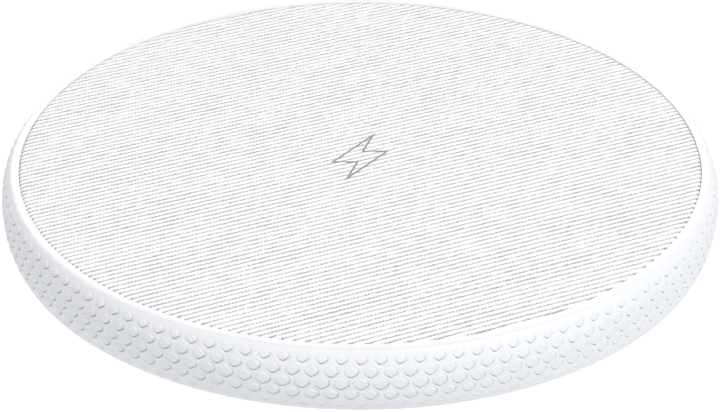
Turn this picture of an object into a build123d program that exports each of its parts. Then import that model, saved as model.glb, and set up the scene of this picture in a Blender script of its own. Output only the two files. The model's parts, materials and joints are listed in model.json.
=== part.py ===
from build123d import *
from math import acos, cos, degrees, radians, sin
import os

# A round wireless charging pad, in millimetres. +Z is up, the origin is on the
# resting surface under the pad's centre, and the USB-C port faces +Y.
# The pad is a screwed clamshell: a top cover with the fabric inlay, a base cover,
# and a soft grip ring that is held between them and hides their joint. Inside, the
# coil stack presses against the top cover and the board stands on the base cover.

# ---- Driving dimensions: casing ----
pad_radius = 50.0
lip_top = 9.7
base_bottom = 0.6
fabric_radius = 47.4
fabric_thickness = 0.8
fabric_proud = 0.05
fabric_edge_fillet = 0.15
film_thickness = 0.1
film_edge_gap = 0.5
fit_gap = 0.05

# The rim's outline is two quarter ellipses that meet at its widest height.
rim_widest_height = 5.26
rim_top_radius = 48.0
rim_foot_radius = 48.77
bezel_outer_radius = 48.45
bezel_underside = 8.3

wall_outer_radius = 47.5
wall_inner_radius = 46.0
floor_thickness = 1.4
plate_thickness = 1.05
flange_radius = 48.2
flange_top = 1.1
flange_edge_chamfer = 0.2
locating_rib_height = 1.4
locating_rib_thickness = 1.2
locating_rib_notch_width = 30.0
locating_rib_notch_depth = 10.0

foot_inner_radius = 36.0
foot_outer_radius = 41.0
foot_thickness = 1.1
foot_edge_fillet = 0.3
foot_film_edge_gap = 0.1

screw_circle_radius = 38.5
screw_count = 4
screw_head_radius = 1.9
screw_head_height = 1.0
screw_shank_radius = 0.85
screw_shank_length = 4.0
screw_head_clearance = 0.2
screw_shank_clearance = 0.25
screw_tip_clearance = 0.5
screw_drive_width = 0.4
screw_drive_margin = 0.7
screw_drive_depth = 0.6
boss_radius = 2.5
base_boss_radius = 3.3
base_boss_top = 3.3

# ---- Driving dimensions: port ----
port_height = 4.9
port_mouth_y = 45.4
port_wall_thickness = 1.2
port_block_margin = 1.8
port_block_depth = 2.4
pocket_width = 12.6
pocket_height = 6.2
pocket_corner = 2.6
shell_width = 8.94
shell_height = 3.26
shell_length = 7.35
shell_wall = 0.3
shell_leg_width = 0.6
shell_leg_inset = 0.05
shell_leg_depth = 1.0
shell_leg_setbacks = (2.6, 6.2)
shell_leg_drop = 0.3
shell_leg_overlap = 0.4
insulator_depth = 1.3
insulator_clearance = 0.02
tongue_width = 6.69
tongue_thickness = 0.6
tongue_setback = 0.8
contact_count = 12
contact_pitch = 0.5
contact_width = 0.25
contact_thickness = 0.06
contact_length = 3.2
contact_setback = 0.4
contact_tail_length = 0.9
contact_tail_thickness = 0.15
lamp_x = -12.0
light_pipe_radius = 0.9
light_pipe_inner_y = 42.75
light_pipe_outer_y = 48.3
light_pipe_collar_y = 42.9
light_pipe_collar_radius = 1.5
light_pipe_collar_thickness = 0.8

# ---- Driving dimensions: board and coil stack ----
board_radius = 44.0
board_bottom = 3.4
board_thickness = 1.0
standoff_radius = 2.2
board_screw_circle_radius = 34.0
board_screw_count = 3
board_screw_head_radius = 1.5
board_screw_head_height = 0.7
board_screw_shank_radius = 0.7
board_screw_length = 2.9
board_screw_drive_margin = 0.6
board_screw_drive_depth = 0.4
board_notch_depth = 12.0
board_leg_slot_width = 1.2
board_leg_slot_margin = 0.1
board_notch_margin = 0.1
board_boss_clearance = 0.4
board_screw_clearance = 0.2
board_pilot_clearance = 0.2

foam_radius = 24.0
foam_thickness = 1.1
foam_hole_margin = 0.5
ferrite_radius = 26.0
ferrite_thickness = 1.0
ferrite_slot_width = 1.6
ferrite_slot_overrun = 1.0
centre_hole_radius = 2.0
coil_wire_radius = 0.49
coil_inner_radius = 10.6
coil_pitch = 1.08
coil_turns = 10
coil_film_inner_radius = 9.8
coil_film_margin = 1.0
coil_tape_margin = 1.0
lead_bend_radius = 1.5
inner_lead_bend_radii = (2.4, 2.4, 1.2, 1.2, 1.0)
solder_foot_radius = 1.4
solder_top_radius = 0.6
bead_radius = 0.9
bead_leg_pitch = 0.9
bead_leg_radius = 0.15
inner_lead_end_y = -28.5
outer_lead_end_y = 18.5
lead_dip_start_y = -6.4
lead_dip_end_y = -7.7
lead_turn_y = -2.5

# ---- Heights and radii that follow ----
fabric_top = lip_top + fabric_proud
fabric_bottom = fabric_top - fabric_thickness
plate_top = fabric_bottom - film_thickness
plate_bottom = plate_top - plate_thickness
floor_top = base_bottom + floor_thickness
recess_radius = fabric_radius + fit_gap
grip_inner_radius = wall_outer_radius + fit_gap
groove_top = foot_thickness + film_thickness
screw_seat = groove_top + fit_gap + screw_head_height
board_top = board_bottom + board_thickness
foam_top = board_top + foam_thickness
ferrite_top = foam_top + ferrite_thickness
coil_bottom = ferrite_top + film_thickness
coil_height = coil_bottom + 0.5
coil_tape_bottom = coil_height + 0.5
coil_outer_radius = coil_inner_radius + coil_turns * coil_pitch
lead_low_height = foam_top + 0.5
lead_end_height = board_top + 0.5
rim_upper_bulge = pad_radius - rim_top_radius
rim_upper_rise = lip_top - rim_widest_height
rim_lower_bulge = pad_radius - rim_foot_radius
rim_lower_drop = rim_widest_height - base_bottom
bezel_angle = degrees(acos((bezel_outer_radius - rim_top_radius) / rim_upper_bulge))

on_base = (Align.CENTER, Align.CENTER, Align.MIN)
port_plane = Plane((0, port_mouth_y, port_height), x_dir=(1, 0, 0), z_dir=(0, -1, 0))

os.makedirs("parts", exist_ok=True)


def save(piece, name):
    """Labels a finished piece and writes it as its own file."""
    piece.part.label = name
    export_step(piece.part, f"parts/{name}.step")


def polar(radius, angle):
    """The point at a radius and an angle in degrees, seen from above."""
    return (radius * cos(radians(angle)), radius * sin(radians(angle)))


def disc(radius, bottom, height, inner_radius=0):
    """Adds a flat disc or ring to the current part."""
    with BuildSketch(Plane.XY.offset(bottom)) as outline:
        Circle(radius)
        if inner_radius:
            Circle(inner_radius, mode=Mode.SUBTRACT)
    extrude(outline.sketch, amount=height)


def studs(places, radius, bottom, top, mode=Mode.ADD):
    """Adds or cuts an upright round stud at each place."""
    with BuildSketch(Plane.XY.offset(bottom)) as outline:
        with places:
            Circle(radius)
    extrude(outline.sketch, amount=top - bottom, mode=mode)


def case_screw_places():
    return PolarLocations(screw_circle_radius, screw_count, start_angle=45)


def board_screw_places():
    return PolarLocations(board_screw_circle_radius, board_screw_count)


def cut_port_pocket():
    """Cuts the recess that takes the cable's plug body out of the current part."""
    with BuildSketch(port_plane) as outline:
        RectangleRounded(pocket_width, pocket_height, pocket_corner)
    extrude(outline.sketch, amount=-(pad_radius + 2 - port_mouth_y), mode=Mode.SUBTRACT)


def lamp_plane(y):
    """A plane across the light pipe's axis, facing out of the port side."""
    return Plane((lamp_x, y, port_height), x_dir=(1, 0, 0), z_dir=(0, 1, 0))


def cut_light_pipe_hole():
    with BuildSketch(lamp_plane(light_pipe_inner_y)) as outline:
        Circle(light_pipe_radius + fit_gap)
    extrude(outline.sketch, amount=pad_radius - light_pipe_inner_y, mode=Mode.SUBTRACT)


def chips(places, width, depth, height, edge=0.08):
    """Adds a box-shaped component on the board at each place."""
    with places:
        body = Box(width, depth, height, align=on_base)
    chamfer(body.edges().group_by(Axis.Z)[-1], edge)


def on_board(*spots):
    """Component places on the board's top, each as x, y and a turn in degrees."""
    return Locations(*[Location((x, y, board_top), (0, 0, turn)) for x, y, turn in spots])


def around_board(radius, angles):
    """Component places on a circle on the board's top, each facing outward."""
    return on_board(*[(*polar(radius, angle), angle) for angle in angles])


# ======== Casing ========

with BuildPart() as fabric_cover:
    disc(fabric_radius, fabric_bottom, fabric_thickness)
    fillet(fabric_cover.edges().sort_by(Axis.Z)[-1], fabric_edge_fillet)
save(fabric_cover, "fabric_cover")

with BuildPart() as fabric_adhesive:
    disc(fabric_radius - film_edge_gap, plate_top, film_thickness)
save(fabric_adhesive, "fabric_adhesive")

# Top cover: a plate with the inlay's recess and bezel lip, a rib that centres it in
# the base's wall, and bosses for the case screws.
with BuildPart() as top_cover:
    with BuildSketch(Plane.XZ):
        with BuildLine():
            lip_curve = EllipticalCenterArc(
                (rim_top_radius, rim_widest_height),
                rim_upper_bulge,
                rim_upper_rise,
                start_angle=bezel_angle,
                arc_size=90 - bezel_angle,
            )
            Polyline(
                lip_curve @ 1,
                (recess_radius, lip_top),
                (recess_radius, plate_top),
                (0, plate_top),
                (0, plate_bottom),
                (wall_outer_radius, plate_bottom),
                (wall_outer_radius, bezel_underside),
                (bezel_outer_radius, bezel_underside),
                lip_curve @ 0,
            )
        make_face()
    revolve(axis=Axis.Z)
    with BuildSketch(Plane.XY.offset(plate_bottom)):
        Circle(wall_inner_radius - 2 * fit_gap)
        Circle(wall_inner_radius - locating_rib_thickness, mode=Mode.SUBTRACT)
        with Locations((lamp_x / 4, wall_inner_radius)):
            Rectangle(locating_rib_notch_width, 2 * locating_rib_notch_depth, mode=Mode.SUBTRACT)
    extrude(amount=-locating_rib_height)
    studs(case_screw_places(), boss_radius, base_boss_top, plate_bottom)
    pilot_top = screw_seat + screw_shank_length + screw_tip_clearance
    pilot_radius = screw_shank_radius + fit_gap / 2
    studs(case_screw_places(), pilot_radius, base_boss_top, pilot_top, Mode.SUBTRACT)
    cut_port_pocket()
save(top_cover, "top_cover")

# Grip ring: soft, with a bead under the bezel and one above the base's flange.
with BuildPart() as rim_grip:
    with BuildSketch(Plane.XZ):
        with BuildLine():
            upper_curve = EllipticalCenterArc(
                (rim_top_radius, rim_widest_height),
                rim_upper_bulge,
                rim_upper_rise,
                start_angle=0,
                arc_size=bezel_angle,
            )
            lower_curve = EllipticalCenterArc(
                (rim_foot_radius, rim_widest_height),
                rim_lower_bulge,
                rim_lower_drop,
                start_angle=270,
                arc_size=90,
            )
            Polyline(
                upper_curve @ 1,
                (bezel_outer_radius, bezel_underside),
                (grip_inner_radius, bezel_underside),
                (grip_inner_radius, flange_top),
                (flange_radius + fit_gap, flange_top),
                (flange_radius + fit_gap, base_bottom),
                lower_curve @ 0,
            )
        make_face()
    revolve(axis=Axis.Z)
    cut_port_pocket()
    cut_light_pipe_hole()
save(rim_grip, "rim_grip")

# Base cover: floor, wall, flange, foot groove, port housing and screw standoffs.
with BuildPart() as base_cover:
    with BuildSketch(Plane.XZ):
        with BuildLine():
            Polyline(
                (0, base_bottom),
                (foot_inner_radius - fit_gap, base_bottom),
                (foot_inner_radius - fit_gap, groove_top),
                (foot_outer_radius + fit_gap, groove_top),
                (foot_outer_radius + fit_gap, base_bottom),
                (flange_radius - flange_edge_chamfer, base_bottom),
                (flange_radius, base_bottom + flange_edge_chamfer),
                (flange_radius, flange_top),
                (wall_outer_radius, flange_top),
                (wall_outer_radius, plate_bottom),
                (wall_inner_radius, plate_bottom),
                (wall_inner_radius, floor_top),
                (0, floor_top),
                close=True,
            )
        make_face()
    revolve(axis=Axis.Z)
    with BuildSketch(Plane.XY.offset(floor_top)):
        with Locations((0, port_mouth_y - port_wall_thickness)):
            block_width = pocket_width + 2 * port_block_margin
            Rectangle(block_width, port_block_depth, align=(Align.CENTER, Align.MIN))
    extrude(amount=plate_bottom - floor_top)
    studs(case_screw_places(), base_boss_radius, floor_top, base_boss_top)
    studs(board_screw_places(), standoff_radius, floor_top, board_bottom)
    head_hole_radius = screw_head_radius + screw_head_clearance
    shank_hole_radius = screw_shank_radius + screw_shank_clearance
    studs(case_screw_places(), head_hole_radius, base_bottom, screw_seat, Mode.SUBTRACT)
    studs(case_screw_places(), shank_hole_radius, screw_seat, base_boss_top, Mode.SUBTRACT)
    board_pilot_bottom = board_top - board_screw_length - board_pilot_clearance
    board_pilot_radius = board_screw_shank_radius + fit_gap / 2
    studs(board_screw_places(), board_pilot_radius, board_pilot_bottom, board_bottom, Mode.SUBTRACT)
    cut_port_pocket()
    with BuildSketch(port_plane) as shell_hole:
        SlotOverall(shell_width + 2 * fit_gap, shell_height + 2 * fit_gap)
    extrude(shell_hole.sketch, amount=port_wall_thickness, mode=Mode.SUBTRACT)
    cut_light_pipe_hole()
save(base_cover, "base_cover")

with BuildPart() as foot_ring:
    disc(foot_outer_radius, 0, foot_thickness, foot_inner_radius)
    fillet(foot_ring.edges().group_by(Axis.Z)[0], foot_edge_fillet)
save(foot_ring, "foot_ring")

with BuildPart() as foot_adhesive:
    film_outer_radius = foot_outer_radius - foot_film_edge_gap
    film_inner_radius = foot_inner_radius + foot_film_edge_gap
    disc(film_outer_radius, foot_thickness, film_thickness, film_inner_radius)
save(foot_adhesive, "foot_adhesive")

# Case screws: their heads sit in the base's counterbores, under the foot ring.
with BuildPart() as case_screws:
    studs(case_screw_places(), screw_head_radius, screw_seat - screw_head_height, screw_seat)
    studs(case_screw_places(), screw_shank_radius, screw_seat, screw_seat + screw_shank_length)
    with BuildSketch(Plane.XY.offset(screw_seat - screw_head_height)):
        with case_screw_places():
            drive_length = 2 * (screw_head_radius - screw_drive_margin)
            Rectangle(drive_length, screw_drive_width)
            Rectangle(screw_drive_width, drive_length)
    extrude(amount=screw_drive_depth, mode=Mode.SUBTRACT)
save(case_screws, "case_screws")

# Light pipe: a clear rod from the status lamp through the wall and the grip ring.
with BuildPart() as light_pipe:
    with BuildSketch(lamp_plane(light_pipe_inner_y)):
        Circle(light_pipe_radius)
    extrude(amount=light_pipe_outer_y - light_pipe_inner_y)
    with BuildSketch(lamp_plane(light_pipe_collar_y)):
        Circle(light_pipe_collar_radius)
    extrude(amount=light_pipe_collar_thickness)
save(light_pipe, "light_pipe")

# ======== USB-C inlet ========

with BuildPart() as usb_c_shell:
    with BuildSketch(port_plane):
        SlotOverall(shell_width, shell_height)
        SlotOverall(shell_width - 2 * shell_wall, shell_height - 2 * shell_wall, mode=Mode.SUBTRACT)
    extrude(amount=shell_length)
    leg_x = (shell_width + shell_leg_width) / 2 - shell_leg_inset
    leg_bottom = board_bottom - shell_leg_drop
    leg_height = port_height + shell_leg_overlap - leg_bottom
    for setback in shell_leg_setbacks:
        with Locations((-leg_x, port_mouth_y - setback, leg_bottom)):
            Box(shell_leg_width, shell_leg_depth, leg_height, align=on_base)
        with Locations((leg_x, port_mouth_y - setback, leg_bottom)):
            Box(shell_leg_width, shell_leg_depth, leg_height, align=on_base)
save(usb_c_shell, "usb_c_shell")

tongue_front = port_mouth_y - tongue_setback
shell_back = port_mouth_y - shell_length
insulator_front = shell_back + insulator_depth
with BuildPart() as usb_c_insulator:
    inner_width = shell_width - 2 * (shell_wall + insulator_clearance)
    inner_height = shell_height - 2 * (shell_wall + insulator_clearance)
    with BuildSketch(port_plane.offset(shell_length - insulator_depth)):
        SlotOverall(inner_width, inner_height)
    extrude(amount=insulator_depth)
    with Locations((0, insulator_front, port_height)):
        tongue_length = tongue_front - insulator_front
        Box(tongue_width, tongue_length, tongue_thickness, align=(Align.CENTER, Align.MIN, Align.CENTER))
save(usb_c_insulator, "usb_c_insulator")

# Contacts: a row of pads on each face of the tongue, and the tails at the back.
with BuildPart() as usb_c_contacts:
    contact_y = tongue_front - contact_setback - contact_length / 2
    for face in (-1, 1):
        pad_height = port_height + face * (tongue_thickness + contact_thickness) / 2
        with Locations((0, contact_y, pad_height)):
            with GridLocations(contact_pitch, 1, contact_count, 1):
                Box(contact_width, contact_length, contact_thickness)
    with Locations((0, shell_back - contact_tail_length / 2, board_top)):
        with GridLocations(contact_pitch, 1, contact_count, 1):
            Box(contact_width, contact_tail_length, contact_tail_thickness, align=on_base)
save(usb_c_contacts, "usb_c_contacts")

# ======== Coil stack ========

with BuildPart() as foam_spacer:
    disc(foam_radius, board_top, foam_thickness, centre_hole_radius + foam_hole_margin)
save(foam_spacer, "foam_spacer")

with BuildPart() as ferrite_shield:
    disc(ferrite_radius, foam_top, ferrite_thickness, centre_hole_radius)
    with BuildSketch(Plane.XY.offset(foam_top)):
        with Locations((0, -ferrite_radius / 2)):
            Rectangle(ferrite_slot_width, ferrite_radius + 2 * ferrite_slot_overrun)
    extrude(amount=ferrite_thickness, mode=Mode.SUBTRACT)
save(ferrite_shield, "ferrite_shield")

with BuildPart() as coil_film:
    film_radius = ferrite_radius - coil_film_margin
    disc(film_radius, ferrite_top, film_thickness, coil_film_inner_radius)
save(coil_film, "coil_film")

# Coil: one flat spiral of half turns. Its inner lead dips through the ferrite's slot
# and its outer lead runs off the rim, and both turn down to pads on the board.
with BuildLine(Plane.XY.offset(coil_height)) as spiral:
    for half_turn in range(2 * coil_turns):
        CenterArc(
            (coil_pitch / 2 * (half_turn % 2), 0),
            coil_inner_radius + coil_pitch / 2 * half_turn,
            180 * (half_turn % 2),
            180,
        )
with BuildLine() as inner_lead:
    FilletPolyline(
        (coil_inner_radius, 0, coil_height),
        (coil_inner_radius, lead_turn_y, coil_height),
        (0, lead_turn_y, coil_height),
        (0, lead_dip_start_y, coil_height),
        (0, lead_dip_end_y, lead_low_height),
        (0, inner_lead_end_y, lead_low_height),
        (0, inner_lead_end_y, lead_end_height),
        radius=inner_lead_bend_radii,
    )
with BuildLine() as outer_lead:
    FilletPolyline(
        (coil_outer_radius, 0, coil_height),
        (coil_outer_radius, outer_lead_end_y, coil_height),
        (coil_outer_radius, outer_lead_end_y, lead_end_height),
        radius=lead_bend_radius,
    )
with BuildPart() as coil_winding:
    for route in (spiral, inner_lead, outer_lead):
        path = route.wires()[0]
        with BuildSketch(Plane(path @ 0, z_dir=path % 0)) as wire:
            Circle(coil_wire_radius)
        sweep(wire.sketch, path=path)
save(coil_winding, "coil_winding")

with BuildPart() as coil_tape:
    tape_thickness = plate_bottom - coil_tape_bottom
    tape_radius = coil_outer_radius + coil_tape_margin
    disc(tape_radius, coil_tape_bottom, tape_thickness, coil_film_inner_radius)
save(coil_tape, "coil_tape")

# Temperature sensor: a glass bead in the ferrite's centre hole, on two wire legs.
with BuildPart() as temperature_sensor:
    with Locations((0, 0, coil_bottom)):
        Sphere(bead_radius)
    studs(GridLocations(bead_leg_pitch, 1, 2, 1), bead_leg_radius, board_top, coil_bottom)
save(temperature_sensor, "temperature_sensor")

# ======== Board and its components ========

with BuildPart() as circuit_board:
    disc(board_radius, board_bottom, board_thickness)
    boss_hole_radius = boss_radius + board_boss_clearance
    studs(case_screw_places(), boss_hole_radius, board_bottom, board_top, Mode.SUBTRACT)
    screw_hole_radius = board_screw_shank_radius + board_screw_clearance
    studs(board_screw_places(), screw_hole_radius, board_bottom, board_top, Mode.SUBTRACT)
    with BuildSketch(Plane.XY.offset(board_bottom)):
        with Locations((0, shell_back - board_notch_margin)):
            notch_width = shell_width + 2 * board_notch_margin
            Rectangle(notch_width, board_notch_depth, align=(Align.CENTER, Align.MIN))
        leg_slot_length = 2 * (leg_x + board_leg_slot_margin) + shell_leg_width
        for setback in shell_leg_setbacks:
            with Locations((0, port_mouth_y - setback)):
                Rectangle(leg_slot_length, board_leg_slot_width)
    extrude(amount=board_thickness, mode=Mode.SUBTRACT)
save(circuit_board, "circuit_board")

with BuildPart() as board_screws:
    head_top = board_top + board_screw_head_height
    studs(board_screw_places(), board_screw_shank_radius, board_top - board_screw_length, board_top)
    studs(board_screw_places(), board_screw_head_radius, board_top, head_top)
    with BuildSketch(Plane.XY.offset(head_top)):
        with board_screw_places():
            drive_length = 2 * (board_screw_head_radius - board_screw_drive_margin)
            Rectangle(drive_length, screw_drive_width)
            Rectangle(screw_drive_width, drive_length)
    extrude(amount=-board_screw_drive_depth, mode=Mode.SUBTRACT)
save(board_screws, "board_screws")

with BuildPart() as solder_joints:
    with Locations(
        (0, inner_lead_end_y, board_top),
        (coil_outer_radius, outer_lead_end_y, board_top),
    ):
        Cone(solder_foot_radius, solder_top_radius, lead_end_height - board_top, align=on_base)
save(solder_joints, "solder_joints")

with BuildPart() as controller_chip:
    chips(around_board(33, [180]), 6, 6, 0.9)
save(controller_chip, "controller_chip")

with BuildPart() as protocol_chip:
    chips(around_board(33.4, [90]), 4, 4, 0.8)
save(protocol_chip, "protocol_chip")

with BuildPart() as driver_chip:
    chips(around_board(32, [254]), 4, 4, 0.8)
save(driver_chip, "driver_chip")

with BuildPart() as bridge_mosfets:
    chips(around_board(31.5, [327, 345]), 5, 6, 1.0)
save(bridge_mosfets, "bridge_mosfets")

with BuildPart() as power_inductor:
    chips(around_board(33, [57]), 6, 6, 3.0, edge=0.6)
save(power_inductor, "power_inductor")

with BuildPart() as resonant_capacitors:
    chips(around_board(32.5, [280, 290, 300, 310]), 4.5, 3.2, 2.0)
save(resonant_capacitors, "resonant_capacitors")

with BuildPart() as input_capacitors:
    chips(around_board(35.5, [68, 73, 78]), 3.2, 1.6, 1.6)
save(input_capacitors, "input_capacitors")

with BuildPart() as small_capacitors:
    chips(around_board(30, [150, 155, 160, 165, 22, 27, 32]), 1.6, 0.8, 0.8)
save(small_capacitors, "small_capacitors")

with BuildPart() as small_resistors:
    chips(around_board(30, [195, 200, 205, 210, 215]), 1.6, 0.8, 0.45)
    chips(around_board(34, [198, 203, 208]), 1.6, 0.8, 0.45)
save(small_resistors, "small_resistors")

with BuildPart() as sense_resistor:
    chips(around_board(32, [12]), 3.2, 6.3, 0.6)
save(sense_resistor, "sense_resistor")

with BuildPart() as surge_diode:
    chips(around_board(36, [104]), 1.6, 2.6, 1.0)
save(surge_diode, "surge_diode")

with BuildPart() as status_led:
    chips(on_board((lamp_x, wall_inner_radius - 4.8, 0)), 1.6, 0.8, 1.0)
save(status_led, "status_led")
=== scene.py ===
import bmesh
import bpy
import json
import math
import numpy as np
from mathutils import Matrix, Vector


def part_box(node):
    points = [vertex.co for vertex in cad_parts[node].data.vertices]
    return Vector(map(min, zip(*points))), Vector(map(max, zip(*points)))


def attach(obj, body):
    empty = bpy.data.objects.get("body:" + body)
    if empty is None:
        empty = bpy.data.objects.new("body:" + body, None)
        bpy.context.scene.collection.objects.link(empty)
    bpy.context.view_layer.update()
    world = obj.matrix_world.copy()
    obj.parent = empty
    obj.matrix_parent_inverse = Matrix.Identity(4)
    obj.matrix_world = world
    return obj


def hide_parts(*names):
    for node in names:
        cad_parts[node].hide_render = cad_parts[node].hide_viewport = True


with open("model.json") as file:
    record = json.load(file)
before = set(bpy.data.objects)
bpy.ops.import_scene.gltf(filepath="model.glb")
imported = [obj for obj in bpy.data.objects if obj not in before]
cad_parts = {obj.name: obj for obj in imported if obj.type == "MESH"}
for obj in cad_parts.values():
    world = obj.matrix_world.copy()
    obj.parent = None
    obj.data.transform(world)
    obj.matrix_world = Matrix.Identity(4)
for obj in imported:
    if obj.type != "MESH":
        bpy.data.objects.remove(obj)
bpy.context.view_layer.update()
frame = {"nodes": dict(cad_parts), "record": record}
nodes = frame["nodes"]
MM = 0.001

# ======== Places and sizes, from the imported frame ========

grip_low, grip_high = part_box("rim_grip")
cover_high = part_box("top_cover")[1]
base_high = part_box("base_cover")[1]
fabric_low, fabric_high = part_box("fabric_cover")
pipe_low, pipe_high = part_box("light_pipe")

pad_radius = grip_high.x
rim_bottom = grip_low.z
bezel_radius = cover_high.x
lip_top = cover_high.z
flange_radius = base_high.x
fabric_radius = fabric_high.x
fabric_top = fabric_high.z
fabric_bottom = fabric_low.z

# The rim's outline is two elliptic arcs that meet at its widest height.
rim_widest_height = 5.26 * MM
rim_top_radius = 48.0 * MM
rim_foot_radius = 48.77 * MM
grip_inner_radius = 47.55 * MM
bezel_underside = 8.3 * MM
flange_top = 1.1 * MM
grip_gap = 0.05 * MM

# The port's pocket faces +Y.
port_height = 4.9 * MM
pocket_width = 12.6 * MM
pocket_height = 6.2 * MM
pocket_corner = 2.6 * MM
pocket_floor_y = 45.4 * MM
lamp_hole_radius = 0.95 * MM

# ======== Mesh helpers ========

# 50 is neutral, and a higher weight lets large faces prevail.
large_face_weight = 80


def add_mesh(name, points, faces, smooth=True):
    """A linked mesh object from a list of points in metres and a list of faces."""
    mesh = bpy.data.meshes.new(name)
    mesh.from_pydata([tuple(p) for p in points], [], [tuple(f) for f in faces])
    mesh.validate()
    for face in mesh.polygons:
        face.use_smooth = smooth
    piece = bpy.data.objects.new(name, mesh)
    bpy.context.scene.collection.objects.link(piece)
    return piece


def tidy_mesh(piece, weld=0.0):
    """Welds near points and turns every face outward."""
    work = bmesh.new()
    work.from_mesh(piece.data)
    if weld:
        bmesh.ops.remove_doubles(work, verts=work.verts, dist=weld)
    bmesh.ops.recalc_face_normals(work, faces=work.faces)
    work.to_mesh(piece.data)
    work.free()


def add_layer(piece, name, values):
    """Stores one number per point, which the piece's material reads."""
    layer = piece.data.attributes.new(name, "FLOAT", "POINT")
    layer.data.foreach_set("value", values)


def band(first, second):
    """Quads between two closed rings of point numbers."""
    return [
        (first[i], first[(i + 1) % len(first)], second[(i + 1) % len(second)], second[i])
        for i in range(len(first))
    ]


def apply_modifiers(piece):
    """Replaces a piece's mesh by what its modifiers make of it."""
    made = bpy.data.meshes.new_from_object(
        piece.evaluated_get(bpy.context.evaluated_depsgraph_get())
    )
    piece.modifiers.clear()
    piece.data = made


def sharpen(piece, least_angle, inside):
    """Marks the edges that turn by more than an angle as sharp, where inside says so."""
    work = bmesh.new()
    work.from_mesh(piece.data)
    for edge in work.edges:
        turn = edge.calc_face_angle(0.0)
        edge.smooth = not (turn > least_angle and all(inside(v.co) for v in edge.verts))
    work.to_mesh(piece.data)
    work.free()


def weighted_normals(piece):
    """Keeps flat faces flat beside narrow rounded edges."""
    modifier = piece.modifiers.new("normals", "WEIGHTED_NORMAL")
    modifier.keep_sharp = True
    modifier.weight = large_face_weight


# ======== Grip ring with its hexagonal bumps ========

bumps_around = 125
bump_row_count = 5
bump_row_pitch = 1.68 * MM
bump_phase = math.radians(-89.9)
bump_rise = 0.09 * MM
bump_rise_shares = [1, 1, 1, 1, 0.4]
moat_depth = 0.15 * MM
moat_side = (0.42, -0.9)
bump_widths = [1.31 * MM, 1.53 * MM, 1.79 * MM, 1.57 * MM, 0.95 * MM]
bump_heights = [1.14 * MM, 1.4 * MM, 1.62 * MM, 1.32 * MM, 0.6 * MM]
# Distance outward from a bump's edge in mm, share of its rise, and share of the moat's depth.
bump_steps = [(0.2, 0, 0), (0.15, 0, 0.9), (0.03, 0, 1), (-0.01, 0.8, 0), (-0.06, 1, 0), (-0.2, 1, 0)]
smooth_zone_half_width = 14.8 * MM
slant_steps = 3
upright_steps = 2
border_steps = 3
border_round = 0.05 * MM
# The ground between the bumps rises to the CAD outline over this width at both borders.
border_blend = 0.9 * MM
# A bump's outline is smoothed: what each point keeps, and what it takes from each neighbour.
own_share = 0.76
neighbour_share = 0.12
# The moat's depth as a share, which also sets how much painted shade darkens it: at right angles to
# moat_side, and how much more toward it.
moat_beside = 0.2
moat_gain = 1.1
# The tone value of a raised bump's top, which the material reads; the moats' higher values are painted
# shade.
bump_top_tone = 0.5
outline_steps = 200
weld_distance = 0.004 * MM
# How far the tools reach past the rim, and the lamp's tool past the pocket's floor.
tool_overshoot = 1 * MM
lamp_tool_extra = 2 * MM
# Edges are sharpened in the smooth zone, but not this near to its sides.
cut_zone_inset = 1 * MM
cut_edge_angle = math.radians(30)

cell_width = 2 * math.pi * pad_radius / bumps_around
cell_apex = bump_row_pitch / 2 + cell_width**2 / (8 * bump_row_pitch)
cell_side = bump_row_pitch / 2 - cell_width**2 / (8 * bump_row_pitch)


def rim_outline():
    """The rim's outside from the bezel to the foot: distance along, radius, height and normal."""
    start = math.acos((bezel_radius - rim_top_radius) / (pad_radius - rim_top_radius))
    upper = np.linspace(start, 0, outline_steps)
    lower = np.linspace(0, -math.pi / 2, outline_steps)[1:]
    upper_rise, lower_drop = lip_top - rim_widest_height, rim_widest_height - rim_bottom
    radius = np.concatenate([
        rim_top_radius + (pad_radius - rim_top_radius) * np.cos(upper),
        rim_foot_radius + (pad_radius - rim_foot_radius) * np.cos(lower),
    ])
    height = np.concatenate([
        rim_widest_height + upper_rise * np.sin(upper),
        rim_widest_height + lower_drop * np.sin(lower),
    ])
    along = np.concatenate([[0], np.cumsum(np.hypot(np.diff(radius), np.diff(height)))])
    run_r, run_z = np.gradient(radius, along), np.gradient(height, along)
    length = np.hypot(run_r, run_z)
    return along, radius, height, -run_z / length, run_r / length


outline = rim_outline()
outline_length = outline[0][-1]
widest_along = float(np.interp(-rim_widest_height, -outline[2], outline[0]))


def rim_points(angle, along, rise):
    """Points on the rim: rise is the height above the ground between the bumps."""
    radius, height, out_r, out_z = (np.interp(along, outline[0], k) for k in outline[1:])
    edge = np.minimum(along, outline_length - along)
    blend = np.clip(edge / border_blend, 0, 1)
    sunk = bump_rise * blend * blend * (3 - 2 * blend)
    offset = rise - sunk
    radius, height = radius + offset * out_r, height + offset * out_z
    return np.stack([radius * np.cos(angle), radius * np.sin(angle), height], axis=-1)


def hexagon(width, height, side):
    """A closed ring of points round a hexagon with upright sides, from its right side on."""
    corners = [(width / 2, side), (0, height / 2), (-width / 2, side)]
    corners += [(-width / 2, -side), (0, -height / 2), (width / 2, -side)]
    ring = []
    for i, corner in enumerate(corners):
        following = corners[(i + 1) % 6]
        steps = upright_steps if corner[0] == following[0] else slant_steps
        for k in range(steps):
            t = k / steps
            ring.append([corner[j] + (following[j] - corner[j]) * t for j in (0, 1)])
    return np.array(ring)


def grown(ring, by):
    """The ring moved outward by a distance, or inward if it is negative."""
    reach = np.linalg.norm(ring, axis=1, keepdims=True)
    return ring * (1 + by / reach)


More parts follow.
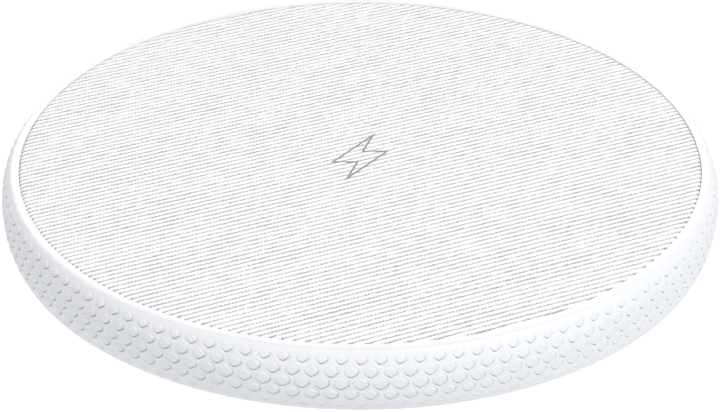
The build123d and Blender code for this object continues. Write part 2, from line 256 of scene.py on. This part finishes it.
def bump_rings(row):
    """Rings of one cell from its border to the bump's top: points, heights, and a tone value that carries
    painted shade in the moat.

    This value is 0 on the ground, the bump's top tone on the raised bump, and up to 1 in its moat, where it
    stands for painted shade.
    """
    cell = hexagon(cell_width, 2 * cell_apex, cell_side)
    width, height = bump_widths[row], bump_heights[row]
    shape = hexagon(width, height, cell_side * height / (2 * cell_apex))
    before, after = np.roll(shape, 1, axis=0), np.roll(shape, -1, axis=0)
    shape = own_share * shape + neighbour_share * before + neighbour_share * after
    shape *= [width / np.ptp(shape[:, 0]), height / np.ptp(shape[:, 1])]
    rings = [(cell, np.zeros(len(cell)), np.zeros(len(cell)))]
    for by, risen, sunk in bump_steps:
        ring = grown(shape, by * MM)
        toward_moat = ring @ np.array(moat_side) / np.linalg.norm(ring, axis=1)
        moat = sunk * np.clip(moat_beside + moat_gain * toward_moat, 0, 1)
        heights = (risen * bump_rise - moat * moat_depth) * bump_rise_shares[row]
        # Last value: the bump's top tone, plus painted shade in the moat.
        rings.append((ring, heights, bump_top_tone * (risen > 0) + moat * bump_rise_shares[row]))
    return rings


def build_grip():
    """The whole ring: a cell round each bump, then the strips and the hidden inside."""
    points, faces, tone_and_moat_shade = [], [], []
    step = 2 * math.pi / bumps_around
    for row in range(bump_row_count):
        rings = bump_rings(row)
        row_along = widest_along + (row - bump_row_count // 2) * bump_row_pitch
        for i in range(bumps_around):
            angle = bump_phase + (i + 0.5 * (row % 2)) * step
            beside_port = math.sin(angle) > 0 and abs(pad_radius * math.cos(angle)) < smooth_zone_half_width
            numbers = []
            for ring, heights, ring_tone_and_shade in rings:
                rise = heights * (not beside_port)
                first = len(points)
                points.extend(rim_points(angle + ring[:, 0] / pad_radius, row_along - ring[:, 1], rise))
                tone_and_moat_shade.extend(ring_tone_and_shade * (not beside_port))
                numbers.append(list(range(first, first + len(ring))))
            for outer, inner in zip(numbers, numbers[1:]):
                faces.extend(band(outer, inner))
            rise = bump_rise * bump_rise_shares[row] * (not beside_port)
            points.append(rim_points(np.array(angle), np.array(row_along), rise))
            tone_and_moat_shade.append(bump_top_tone * (rise > 0))
            last = numbers[-1]
            faces.extend((last[k], last[(k + 1) % len(last)], len(points) - 1) for k in range(len(last)))
    columns = 2 * slant_steps * bumps_around
    loops = border_loops(columns)
    for side in loops:
        rings = []
        for ring in side:
            rings.append(list(range(len(points), len(points) + columns)))
            points.extend(ring)
        for first, second in zip(rings, rings[1:]):
            faces.extend(band(first, second))
    piece = add_mesh("grip_ring", points, faces)
    # This layer darkens the moats with painted shade.
    add_layer(piece, "tone_and_moat_shade", tone_and_moat_shade + [0.0] * (len(points) - len(tone_and_moat_shade)))
    tidy_mesh(piece, weld=weld_distance)
    return piece


def border_loops(columns):
    """Loops that close the ring: strips above and below the cells, then the hidden inside."""
    k = np.arange(columns)
    angle = bump_phase + (k / (2 * slant_steps) - 0.5) * 2 * math.pi / bumps_around
    from_apex = np.abs((k % (2 * slant_steps)) / slant_steps - 1)
    zigzag = cell_apex + (cell_side - cell_apex) * from_apex
    reach = bump_row_count // 2 * bump_row_pitch
    top_edge = widest_along - reach - zigzag
    low_edge = widest_along + reach + zigzag
    shares = np.linspace(0, 1, border_steps + 1)
    top_end, low_end = border_round, outline_length - border_round
    above = [rim_points(angle, top_edge + (top_end - top_edge) * t, 0.0) for t in shares]
    below = [rim_points(angle, low_edge + (low_end - low_edge) * t, 0.0) for t in shares]
    above.append(rim_points(angle, np.zeros(columns), -border_round))
    below.append(rim_points(angle, np.full(columns, outline_length), -border_round))
    hidden = [
        (bezel_radius, bezel_underside),
        (grip_inner_radius, bezel_underside),
        (grip_inner_radius, flange_top),
        (flange_radius + grip_gap, flange_top),
        (flange_radius + grip_gap, rim_bottom),
    ]
    inside = [above[-1]]
    for radius, height in hidden:
        level = np.full(columns, height)
        inside.append(np.stack([radius * np.cos(angle), radius * np.sin(angle), level], axis=-1))
    inside.append(below[-1])
    return [above, below, inside]


def prism(name, outline_points, start_y, end_y):
    """A straight solid along Y with an outline in X and Z, used to cut the grip ring."""
    n = len(outline_points)
    points = [(x, y, z) for y in (start_y, end_y) for x, z in outline_points]
    faces = band(list(range(n)), list(range(n, 2 * n)))
    faces += [tuple(range(n)), tuple(range(2 * n - 1, n - 1, -1))]
    piece = add_mesh(name, points, faces)
    tidy_mesh(piece)
    return piece


def rounded_rectangle(width, height, corner, middle_z, steps=8):
    """A closed outline in X and Z, centred on X = 0."""
    points = []
    for turn, (sx, sz) in enumerate([(1, 1), (-1, 1), (-1, -1), (1, -1)]):
        for k in range(steps + 1):
            angle = math.radians(90 * (turn + k / steps))
            x = sx * (width / 2 - corner) + corner * math.cos(angle)
            z = middle_z + sz * (height / 2 - corner) + corner * math.sin(angle)
            points.append((x, z))
    return points


def round_outline(x, z, radius, steps=32):
    angles = [2 * math.pi * k / steps for k in range(steps)]
    return [(x + radius * math.cos(a), z + radius * math.sin(a)) for a in angles]


def cut(piece, tool):
    """Cuts the tool out of a piece and removes the tool."""
    modifier = piece.modifiers.new("cut", "BOOLEAN")
    modifier.operation = "DIFFERENCE"
    modifier.solver = "EXACT"
    modifier.object = tool
    apply_modifiers(piece)
    bpy.data.objects.remove(tool)


grip = build_grip()
past_rim = pad_radius + tool_overshoot
pocket_outline = rounded_rectangle(pocket_width, pocket_height, pocket_corner, port_height)
cut(grip, prism("pocket_tool", pocket_outline, pocket_floor_y, past_rim))
pipe_x = (pipe_low.x + pipe_high.x) / 2
lamp_outline = round_outline(pipe_x, port_height, lamp_hole_radius)
cut(grip, prism("pipe_tool", lamp_outline, pocket_floor_y - lamp_tool_extra, past_rim))
cut_zone_half_width = smooth_zone_half_width - cut_zone_inset
sharpen(grip, cut_edge_angle, lambda p: p.y > 0 and abs(p.x) < cut_zone_half_width)
weighted_normals(grip)
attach(grip, "root")
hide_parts("rim_grip")

# ======== Ribbed fabric inlay ========

rib_pitch = 0.936 * MM
rib_turn = math.radians(25.4)
rib_depth = 0.2 * MM
rib_columns = 236
# Across one rib: place as a share of the pitch from groove to groove, and share of the depth.
rib_section = [(0.0, 1.0), (0.17, 0.35), (0.5, 0.0), (0.83, 0.35)]
edge_roll_width = 0.4 * MM
edge_roll_depth = 0.26 * MM
# The last columns' distances from a rib line's end. On short lines, the least shares of the
# half length that they and the middle columns reach out to.
edge_columns = [0.1 * MM, 0.22 * MM, 0.36 * MM]
edge_column_least = 0.9
middle_least = 0.8
# The outermost lines' distance from the disc's edge, and the gap kept clear beside them.
disc_gap = 0.01 * MM
last_line_gap = 0.02 * MM
# How far each rib line's depth and place wander, and over which lengths.
depth_wander = 0.25
depth_periods = [5.3 * MM, 8.9 * MM, 23 * MM]
place_wander = 0.035 * MM
place_periods = [1.7 * MM, 2.9 * MM, 4.7 * MM]
wander_gain = 1.6
# How the painted groove shade that the material reads grows with a line's depth, and the painted shade at
# the disc's rolled edge.
groove_shade_by_depth = 0.3
edge_roll_shade = 0.22
fabric_seed = 7
# The yarn's twist, which is in the material only.
twist_pitch = 0.42 * MM
twist_angle = math.radians(-35)


def rib_wander(rng, lines, along, periods, amount):
    """For each line, a smooth seeded wander along it that stays mostly within +-amount."""
    wander = np.zeros_like(along)
    for period in periods:
        phase = rng.uniform(0, 2 * math.pi, lines)[:, None]
        wander += np.sin(2 * math.pi * along / period + phase) / len(periods)
    return amount * wander * wander_gain


def fabric_columns(half):
    """Places along a rib line of each half length, closer together at its two ends."""
    inner = half - edge_columns[-1]
    share = np.linspace(-1, 1, rib_columns - 2 * len(edge_columns) + 1)
    ends = [np.maximum(half - e, half * edge_column_least) for e in edge_columns[:-1]]
    middle = share[None, :] * np.maximum(inner, half * middle_least)[:, None]
    right = np.stack(ends[::-1] + [half], axis=1)
    return np.concatenate([-right[:, ::-1], middle, right], axis=1)


def build_fabric():
    """A round cloth with ribs at rib_turn, a rolled edge and a flat back."""
    rng = np.random.default_rng(fabric_seed)
    reach = int(fabric_radius / rib_pitch) + 1
    limit = fabric_radius - disc_gap
    lines = [
        ((n + place) * rib_pitch, deep, abs(1 - 2 * place))
        for n in range(-reach, reach)
        for place, deep in rib_section
    ]
    lines = [line for line in lines if abs(line[0]) < limit - last_line_gap]
    lines = [(-limit, 0.0, 0.0)] + lines + [(limit, 0.0, 0.0)]
    across, depth, nearness = np.array(lines).T
    half = np.sqrt(fabric_radius**2 - across**2)
    along = fabric_columns(half)
    count, wide = along.shape
    fade = rib_wander(rng, count, along, depth_periods, depth_wander)
    shift = rib_wander(rng, count, along, place_periods, place_wander)
    inside = np.clip((fabric_radius - np.hypot(along, across[:, None])) / edge_roll_width, 0, 1)
    grid_across = across[:, None] + shift * inside
    height = fabric_top - rib_depth * depth[:, None] * (1 + fade) - edge_roll_depth * (1 - inside) ** 2
    cos_t, sin_t = math.cos(rib_turn), math.sin(rib_turn)
    x = along * cos_t - grid_across * sin_t
    y = along * sin_t + grid_across * cos_t
    top = np.stack([x, y, height], axis=-1).reshape(-1, 3)
    faces = [
        (i * wide + j, i * wide + j + 1, (i + 1) * wide + j + 1, (i + 1) * wide + j)
        for i in range(count - 1)
        for j in range(wide - 1)
    ]
    edge = list(range(wide - 1, -1, -1))
    edge += [i * wide for i in range(1, count)]
    edge += [(count - 1) * wide + j for j in range(1, wide)]
    edge += [i * wide + wide - 1 for i in range(count - 2, 0, -1)]
    back = top[edge].copy()
    back[:, 2] = fabric_bottom
    back_ring = list(range(len(top), len(top) + len(edge)))
    points = np.concatenate([top, back, [[0, 0, fabric_bottom]]])
    faces += band(edge, back_ring)
    middle = len(points) - 1
    faces += [(back_ring[k], middle, back_ring[(k + 1) % len(edge)]) for k in range(len(edge))]
    piece = add_mesh("ribbed_fabric", points, faces)
    tidy_mesh(piece)
    # The grooves and the rolled edge get painted shade, which the material reads.
    groove = np.zeros(len(points))
    tone = nearness[:, None] * (1 + groove_shade_by_depth * fade) + edge_roll_shade * (1 - inside)
    groove[: len(top)] = tone.reshape(-1)
    add_layer(piece, "groove", groove)
    return piece


fabric = build_fabric()
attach(fabric, "root")
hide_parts("fabric_cover")

# ======== Pressed charging mark ========

mark_height = 13.5 * MM
mark_line = 0.26 * MM
mark_thickness = 0.06 * MM
# A lightning bolt's corners as shares of its height, from its lower tip on.
bolt_corners = [(-0.16, -0.5), (0.3, 0.12), (0.04, 0.12), (0.16, 0.5), (-0.3, -0.12), (-0.04, -0.12)]


def offset_corners(corners, by):
    """A closed outline moved inward by a distance, with mitred corners."""
    moved = []
    for i, corner in enumerate(corners):
        before = (Vector(corner) - Vector(corners[i - 1])).normalized()
        after = (Vector(corners[(i + 1) % len(corners)]) - Vector(corner)).normalized()
        normal = Vector((-before.y, before.x)) + Vector((-after.y, after.x))
        normal /= 1 + before.dot(after)
        moved.append(Vector(corner) + normal * by)
    return moved


def build_mark():
    """The bolt's outline as a thin pressed line."""
    outer = [Vector(c) * mark_height for c in bolt_corners]
    inner = offset_corners(outer, mark_line)
    n = len(outer)
    points = []
    for height in (fabric_top, fabric_top - mark_thickness):
        for ring in (outer, inner):
            points += [(p.x, p.y, height) for p in ring]
    rings = [list(range(k * n, (k + 1) * n)) for k in range(4)]
    top_outer, top_inner, low_outer, low_inner = rings
    faces = band(top_outer, top_inner) + band(top_inner, low_inner)
    faces += band(low_inner, low_outer) + band(low_outer, top_outer)
    piece = add_mesh("charging_mark", points, faces, smooth=False)
    tidy_mesh(piece)
    return piece


mark = build_mark()
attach(mark, "root")

# ======== Materials ========

noise_roughness = 0.55


class Surface:
    """A procedural material with a Principled shader, built up by its methods."""

    def __init__(self, name, roughness=0.5, metallic=0.0):
        self.material = bpy.data.materials.new(name)
        self.material.use_nodes = True
        self.tree = self.material.node_tree
        self.shader = self.tree.nodes["Principled BSDF"]
        self.shader.inputs["Roughness"].default_value = roughness
        self.shader.inputs["Metallic"].default_value = metallic
        self.place = self.node("ShaderNodeTexCoord").outputs["Object"]

    def node(self, kind, **values):
        made = self.tree.nodes.new(kind)
        for key, value in values.items():
            setattr(made, key, value)
        return made

    def link(self, start, end):
        self.tree.links.new(start, end)

    def noise(self, size, detail=3.0, vector=None):
        """A noise whose features are about size metres across."""
        made = self.node("ShaderNodeTexNoise")
        made.inputs["Scale"].default_value = 1 / size
        made.inputs["Detail"].default_value = detail
        made.inputs["Roughness"].default_value = noise_roughness
        self.link(vector or self.place, made.inputs["Vector"])
        return made.outputs["Fac"]

    def mapped(self, vector, turn=0.0, stretch=1.0):
        """A place turned about Z, or scaled along X."""
        made = self.node("ShaderNodeMapping")
        made.inputs["Rotation"].default_value = (0, 0, turn)
        made.inputs["Scale"].default_value = (stretch, 1, 1)
        self.link(vector, made.inputs["Vector"])
        return made.outputs["Vector"]

    def ramp(self, value, stops):
        """Colours by value: stops are (place, grey or colour)."""
        made = self.node("ShaderNodeValToRGB")
        while len(made.color_ramp.elements) < len(stops):
            made.color_ramp.elements.new(0.5)
        for element, (place, colour) in zip(made.color_ramp.elements, stops):
            element.position = place
            rgb = colour if isinstance(colour, tuple) else (colour,) * 3
            element.color = (*rgb, 1)
        self.link(value, made.inputs["Fac"])
        return made.outputs["Color"]

    def maths(self, operation, first, second=None, third=None):
        made = self.node("ShaderNodeMath", operation=operation)
        for socket, value in zip(made.inputs, (first, second, third)):
            if value is None:
                continue
            if isinstance(value, (int, float)):
                socket.default_value = value
            else:
                self.link(value, socket)
        return made.outputs[0]

    def centred(self, value, amount):
        """A value from 0 to 1 turned into one from -amount / 2 to amount / 2."""
        return self.maths("MULTIPLY_ADD", value, amount, -amount / 2)

    def colour(self, output):
        self.link(output, self.shader.inputs["Base Color"])

    def roughness(self, output):
        self.link(output, self.shader.inputs["Roughness"])

    def bump(self, height, distance):
        made = self.node("ShaderNodeBump")
        made.inputs["Distance"].default_value = distance
        self.link(height, made.inputs["Height"])
        self.link(made.outputs["Normal"], self.shader.inputs["Normal"])


def plastic(name, colour, roughness, grain=0.12 * MM, depth=0.004 * MM, shift=0.015):
    """A moulded plastic: faint drifts of colour and sheen, and a fine grain."""
    surface = Surface(name, roughness)
    low = tuple(max(0, c - shift) for c in colour)
    high = tuple(min(1, c + shift) for c in colour)
    drift = surface.noise(9 * MM)
    surface.colour(surface.ramp(drift, [(0.35, low), (0.65, high)]))
    sheen = surface.noise(2 * MM)
    surface.roughness(surface.ramp(sheen, [(0.3, roughness - 0.04), (0.7, roughness + 0.05)]))
    surface.bump(surface.noise(grain, detail=2.0), depth)
    return surface.material


def clear_plastic(name, colour, roughness):
    """A slightly frosted clear plastic."""
    material = plastic(name, colour, roughness, depth=0.001 * MM)
    shader = material.node_tree.nodes["Principled BSDF"]
    shader.inputs["Transmission Weight"].default_value = 0.85
    shader.inputs["IOR"].default_value = 1.49
    return material


def metal(name, colour, roughness):
    """A metal, bare or enamelled: a little darker in patches, with a fine grain."""
    grain = 0.2 * MM
    surface = Surface(name, roughness, metallic=1.0)
    low = tuple(c * 0.9 for c in colour)
    patches = surface.noise(1.5 * MM)
    surface.colour(surface.ramp(patches, [(0.3, low), (0.7, colour)]))
    sheen = surface.noise(grain)
    surface.roughness(surface.ramp(sheen, [(0.3, roughness - 0.05), (0.7, roughness + 0.08)]))
    surface.bump(surface.noise(grain, detail=2.0), 0.002 * MM)
    return surface.material


def fabric_material():
    """White ribs with grooves darkened by painted shade, which yarn, fading and twist make uneven, and a
    fine relief.
    """
    surface = Surface("ribbed_white_fabric", 0.85)
    layer = surface.node("ShaderNodeAttribute", attribute_name="groove")
    groove = layer.outputs["Fac"]
    along_ribs = surface.mapped(surface.place, turn=-rib_turn)
    wave = surface.node("ShaderNodeTexWave")
    # Blender's wave repeats 20 / (2 pi) times per unit at scale 1.
    wave.inputs["Scale"].default_value = 2 * math.pi / (20 * twist_pitch)
    wave.inputs["Distortion"].default_value = 2.5
    wave.inputs["Detail"].default_value = 1.0
    wave.inputs["Detail Scale"].default_value = 0.6
    surface.link(surface.mapped(surface.place, turn=twist_angle - rib_turn), wave.inputs["Vector"])
    twist = wave.outputs["Fac"]
    yarn = surface.noise(0.24 * MM, vector=surface.mapped(along_ribs, stretch=0.9))
    fade = surface.noise(4 * MM, vector=surface.mapped(along_ribs, stretch=0.25))
    edge = surface.maths("ADD", groove, surface.centred(yarn, 0.6))
    edge = surface.maths("ADD", edge, surface.centred(fade, 0.18))
    edge = surface.maths("ADD", edge, surface.centred(twist, 0.12))
    # The dark colour is painted shade in the grooves and at the rolled edge.
    white, painted_groove_shade = (0.95, 0.95, 0.955), (0.36, 0.36, 0.375)
    surface.colour(surface.ramp(edge, [(0.62, white), (0.92, painted_groove_shade)]))
    fuzz = surface.noise(0.12 * MM)
    surface.roughness(surface.ramp(fuzz, [(0.3, 0.8), (0.7, 0.92)]))
    relief = surface.maths("MULTIPLY_ADD", twist, 0.8, surface.maths("ADD", yarn, fuzz))
    surface.bump(relief, 0.03 * MM)
    surface.shader.inputs["Sheen Weight"].default_value = 0.2
    return surface.material


def grip_material():
    """Palest and least rough between the bumps, a little greyer on top, and darkest in the moats, where the
    darkening is painted shade.
    """
    surface = Surface("white_grip_rubber", 0.5)
    layer = surface.node("ShaderNodeAttribute", attribute_name="tone_and_moat_shade")
    grain = surface.noise(0.15 * MM, detail=2)
    drift = surface.centred(surface.noise(11 * MM), 0.16)
    tone = surface.maths("ADD", layer.outputs["Fac"], drift)
    # The moat colour is painted shade.
    ground, bump, moat = (0.875, 0.89, 0.915), (0.858, 0.872, 0.896), (0.6, 0.61, 0.63)
    surface.colour(surface.ramp(tone, [(0.05, ground), (bump_top_tone, bump), (0.95, moat)]))
    surface.roughness(surface.ramp(surface.maths("ADD", tone, grain), [(0.3, 0.44), (1.0, 0.62)]))
    surface.bump(grain, 0.003 * MM)
    return surface.material


def paint(piece, material):
    piece.data.materials.clear()
    piece.data.materials.append(material)


paint(grip, grip_material())
paint(fabric, fabric_material())
paint(mark, plastic("grey_pressed_line", (0.3, 0.3, 0.31), 0.6))

finishes = {
    "adhesive_film": plastic("adhesive_film", (0.82, 0.8, 0.72), 0.4),
    "cover_plastic": plastic("white_cover_plastic", (0.88, 0.885, 0.895), 0.38),
    "base_plastic": plastic(
        "white_base_plastic", (0.84, 0.845, 0.855), 0.5, grain=0.2 * MM, depth=0.012 * MM
    ),
    "foot_silicone": plastic("grey_foot_silicone", (0.62, 0.62, 0.63), 0.6),
    "screw_steel": metal("zinc_screw_steel", (0.66, 0.66, 0.64), 0.3),
    "port_steel": metal("drawn_port_steel", (0.72, 0.72, 0.72), 0.25),
    "port_insulator": plastic("black_insulator", (0.03, 0.03, 0.03), 0.45, depth=0.0008 * MM, shift=0.006),
    "contact_gold": metal("gold_contacts", (0.9, 0.68, 0.3), 0.2),
    "lamp_clear": clear_plastic("clear_light_pipe", (0.9, 0.92, 0.94), 0.16),
    "led_body": plastic("led_body", (0.88, 0.84, 0.6), 0.3),
    "copper_wire": metal("enamelled_copper", (0.78, 0.36, 0.18), 0.25),
    "ferrite": plastic("sintered_ferrite", (0.07, 0.07, 0.075), 0.55),
    "foam": plastic("black_foam", (0.04, 0.04, 0.045), 0.9, grain=0.4 * MM, depth=0.08 * MM),
    "glass_bead": plastic("glazed_bead", (0.4, 0.12, 0.06), 0.15),
    "board_laminate": plastic("green_board", (0.02, 0.16, 0.06), 0.35),
    "solder": metal("bright_solder", (0.75, 0.75, 0.76), 0.22),
    "chip_resin": plastic("chip_resin", (0.035, 0.035, 0.038), 0.5),
    "inductor_body": plastic("pressed_powder", (0.13, 0.13, 0.135), 0.6),
    "capacitor_body": plastic("capacitor_ceramic", (0.42, 0.28, 0.15), 0.4),
    "resistor_body": plastic("resistor_glaze", (0.05, 0.05, 0.055), 0.35),
}
for part in frame["record"]["subparts"]:
    if part["material_slot"] in finishes:
        paint(nodes[part["node"]], finishes[part["material_slot"]])

# ======== Stage, light and camera ========


def add_floor():
    """A glowing white cove, curved up far away, that neither lights nor shades solid surfaces."""
    rings = 24
    sides = 64
    flat_radius = 2.0
    cove_turn = math.radians(120)
    curve_radius = 4.0
    glow = 1.05
    profile = [(flat_radius, 0.0)]
    for k in range(1, rings + 1):
        angle = cove_turn * k / rings
        profile.append((flat_radius + curve_radius * math.sin(angle), curve_radius * (1 - math.cos(angle))))
    turns = [2 * math.pi * k / sides for k in range(sides)]
    points = [(r * math.cos(a), r * math.sin(a), z) for r, z in profile for a in turns]
    loops = [list(range(k * sides, (k + 1) * sides)) for k in range(len(profile))]
    faces = [quad for inner, outer in zip(loops, loops[1:]) for quad in band(inner, outer)]
    floor = add_mesh("floor", points, faces + [tuple(loops[0])])
    material = bpy.data.materials.new("plain_floor")
    material.use_nodes = True
    shader = material.node_tree.nodes["Principled BSDF"]
    shader.inputs["Base Color"].default_value = (0.2, 0.2, 0.2, 1)
    shader.inputs["Roughness"].default_value = 0.9
    shader.inputs["Emission Color"].default_value = (1, 1, 1, 1)
    shader.inputs["Emission Strength"].default_value = glow
    floor.data.materials.append(material)
    floor.visible_diffuse = False
    floor.visible_glossy = False
    floor.visible_shadow = False


def add_softbox(name, place, size, power):
    """A square area light that faces the pad."""
    data = bpy.data.lights.new(name, "AREA")
    data.size = size
    data.energy = power
    lamp = bpy.data.objects.new(name, data)
    lamp.location = place
    lamp.rotation_euler = (-Vector(place)).to_track_quat("-Z", "Y").to_euler()
    bpy.context.scene.collection.objects.link(lamp)


def add_camera():
    """Looks down on the pad from the front, with a long lens."""
    elevation = math.radians(30.77)
    distance = 0.4041
    aim = Vector((0.00004, -0.01355, fabric_top))
    toward = Vector((0, -math.cos(elevation), math.sin(elevation)))
    data = bpy.data.cameras.new("camera")
    data.lens = 148.74
    data.sensor_width = 36
    data.clip_start = 0.01
    camera = bpy.data.objects.new("camera", data)
    camera.location = aim + toward * distance
    camera.rotation_euler = (-toward).to_track_quat("-Z", "Y").to_euler()
    bpy.context.scene.collection.objects.link(camera)
    bpy.context.scene.camera = camera


def add_world():
    """Soft light from all sides, strongest from below and a little stronger from +X."""
    below, above = (0.94, 0.95, 0.97, 1), (0.4, 0.4, 0.405, 1)
    above_from = 0.06
    tilt = 0.05
    world = bpy.data.worlds.new("studio")
    world.use_nodes = True
    tree = world.node_tree
    place = tree.nodes.new("ShaderNodeTexCoord")
    parts = tree.nodes.new("ShaderNodeSeparateXYZ")
    ramp = tree.nodes.new("ShaderNodeValToRGB")
    ramp.color_ramp.elements[0].position = 0.0
    ramp.color_ramp.elements[0].color = below
    ramp.color_ramp.elements[1].position = above_from
    ramp.color_ramp.elements[1].color = above
    side = tree.nodes.new("ShaderNodeMath")
    side.operation = "MULTIPLY_ADD"
    side.inputs[1].default_value = tilt
    side.inputs[2].default_value = 1.0
    tree.links.new(place.outputs["Generated"], parts.inputs[0])
    tree.links.new(parts.outputs["Z"], ramp.inputs["Fac"])
    tree.links.new(parts.outputs["X"], side.inputs[0])
    tree.links.new(ramp.outputs["Color"], tree.nodes["Background"].inputs["Color"])
    tree.links.new(side.outputs[0], tree.nodes["Background"].inputs["Strength"])
    bpy.context.scene.world = world


add_floor()
add_softbox("key_right", (0.3, -0.25, 0.48), 0.15, 1.75)
add_softbox("key_left", (-0.25, -0.22, 0.52), 0.15, 0.85)
add_softbox("rim_light_left", (-0.25, 0.55, 0.28), 0.3, 1.0)
add_softbox("rim_light_right", (0.25, 0.55, 0.28), 0.3, 0.8)
add_world()
add_camera()
bpy.context.scene.view_settings.view_transform = "Standard"
